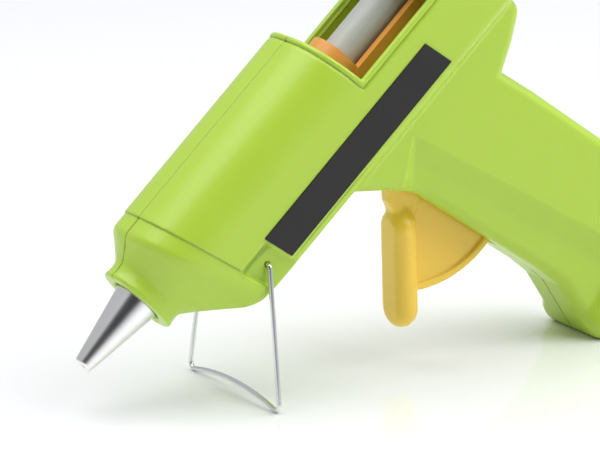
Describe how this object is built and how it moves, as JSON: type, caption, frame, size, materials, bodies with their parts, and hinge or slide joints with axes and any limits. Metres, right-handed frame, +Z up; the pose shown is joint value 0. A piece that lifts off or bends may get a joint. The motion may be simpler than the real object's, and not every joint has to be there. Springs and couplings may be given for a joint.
{
  "type": "hot-melt glue gun",
  "caption": "Trigger-fed hot-melt glue gun with a conical metal nozzle, window over the glue stick, pistol grip and folding wire stand.",
  "frame": {"origin": "centre of the bounding box at its base, on the surface that the gun stands on, with the gun resting nose-down on its wire stand and the toe of its handle", "axes": "+X from the nozzle towards the handle, +Y towards the right half of the housing, +Z up"},
  "size_m": [0.2024, 0.0534, 0.1518],
  "materials": {
    "housing": "moulded satin",
    "nozzle": "turned and polished",
    "chamber": "die cast",
    "heater": "fired",
    "electrode": "rolled",
    "film": "film",
    "spring_steel": "bright",
    "support": "moulded",
    "sleeve": "moulded silicone",
    "glue": "translucent",
    "carriage": "moulded",
    "zinc": "stamped",
    "pin": "ground",
    "trigger": "moulded",
    "block": "moulded",
    "lead": "sleeved",
    "bush": "moulded",
    "collar": "moulded",
    "screw": "blackened",
    "wire": "plated",
    "label": "printed film"
  },
  "bodies": {
    "housing": {"left_housing": "housing", "right_housing": "housing", "nozzle": "nozzle", "melting_chamber": "chamber", "ptc_heater": "heater", "electrodes": "electrode", "heater_insulation": "film", "heater_clip": "spring_steel", "front_support": "support", "rear_support": "support", "feed_sleeve": "sleeve", "sleeve_clamp": "spring_steel", "trigger_pin": "pin", "return_spring": "spring_steel", "terminal_block": "block", "live_lead": "lead", "neutral_lead": "lead", "cord_bush": "bush", "stick_collar": "collar", "housing_screws": "screw", "left_label": "label", "right_label": "label"},
    "trigger": {"trigger": "trigger", "link_pin_front": "pin"},
    "link": {"link": "zinc"},
    "carriage": {"carriage": "carriage", "gripper_pin": "pin"},
    "gripper": {"gripper": "zinc", "link_pin_rear": "pin"},
    "stick": {"glue_stick": "glue"},
    "stand": {"wire_stand": "wire"}
  },
  "joints": [
    {"name": "trigger_turn", "type": "hinge", "parent": "housing", "child": "trigger", "pos_m": [0.01265, 0, 0.05817], "axis": [0, -1, 0], "range_deg": [0, 22], "stiffness_Nm_per_rad": 0.8, "springref_deg": -11.46},
    {"name": "carriage_slide", "type": "slide", "parent": "housing", "child": "carriage", "axis": [-0.7279, 0, -0.6857], "range_m": [0, 0.01135], "deforming": ["return_spring"]},
    {"name": "gripper_tip", "type": "hinge", "parent": "carriage", "child": "gripper", "pos_m": [0.0059, 0, 0.09742], "axis": [0, 1, 0], "range_deg": [0, 8.2]},
    {"name": "link_swing", "type": "hinge", "parent": "trigger", "child": "link", "pos_m": [-0.00538, 0, 0.08461], "axis": [0, -1, 0], "range_deg": [-22.18, 0]},
    {"name": "stick_feed", "type": "slide", "parent": "housing", "child": "stick", "axis": [-0.7279, 0, -0.6857], "range_m": [0, 0.01135]},
    {"name": "stand_fold", "type": "hinge", "parent": "housing", "child": "stand", "pos_m": [-0.04765, 0, 0.04313], "axis": [0, -1, 0], "range_deg": [0, 94]}
  ],
  "couplings": [
    {"joint": "carriage_slide", "follows": "trigger_turn", "m_per_rad": 0.0293},
    {"joint": "gripper_tip", "follows": "trigger_turn", "ratio": 0.36364},
    {"joint": "link_swing", "follows": "trigger_turn", "ratio": -0.99},
    {"joint": "stick_feed", "follows": "trigger_turn", "m_per_rad": 0.0293}
  ]
}
